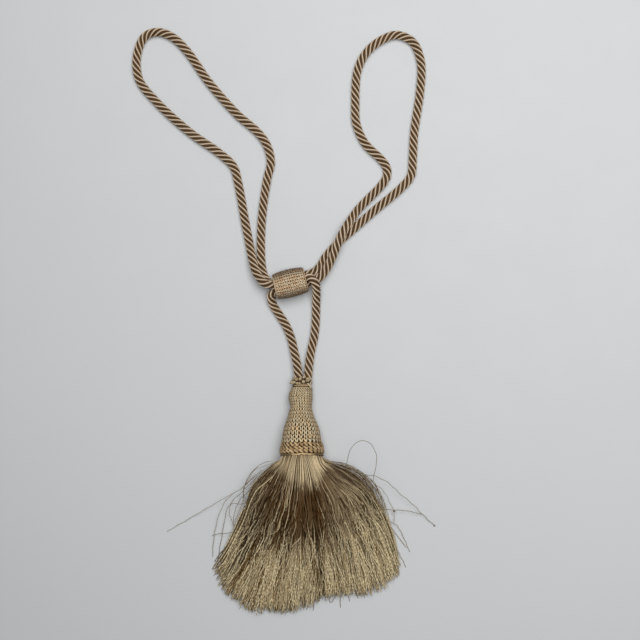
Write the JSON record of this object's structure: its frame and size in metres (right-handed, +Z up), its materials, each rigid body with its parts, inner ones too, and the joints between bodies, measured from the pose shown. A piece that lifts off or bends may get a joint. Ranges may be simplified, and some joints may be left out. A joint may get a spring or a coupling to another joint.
{
  "type": "curtain tieback tassel",
  "caption": "Curtain tieback tassel: twisted rope loops through a crochet slider bead, a crochet-covered tassel head and a spread cut-fringe skirt, lying flat.",
  "frame": {"origin": "on the flat underside of the spread fringe skirt, on the tassel's centre line, at the surface it lies on", "axes": "+Z up off the surface, +Y from the skirt towards the rope loops, +X to the right seen from above"},
  "size_m": [0.25, 0.5015, 0.0397],
  "materials": {
    "twisted_rope": "glossy viscose rope, brown plies with thin pale beige cords in their grooves",
    "crochet_thread": "satin beige-gold thread, close crochet",
    "trim_cord": "satin beige-gold twisted cord",
    "fringe_thread": "glossy beige-gold viscose threads, crimped, cut ends"
  },
  "bodies": {
    "root": {"tieback_cord": "twisted_rope", "slider_bead": "crochet_thread", "neck_binding": "trim_cord", "tassel_head": "crochet_thread", "rim_band": "trim_cord", "tassel_skirt": "fringe_thread"}
  },
  "joints": []
}
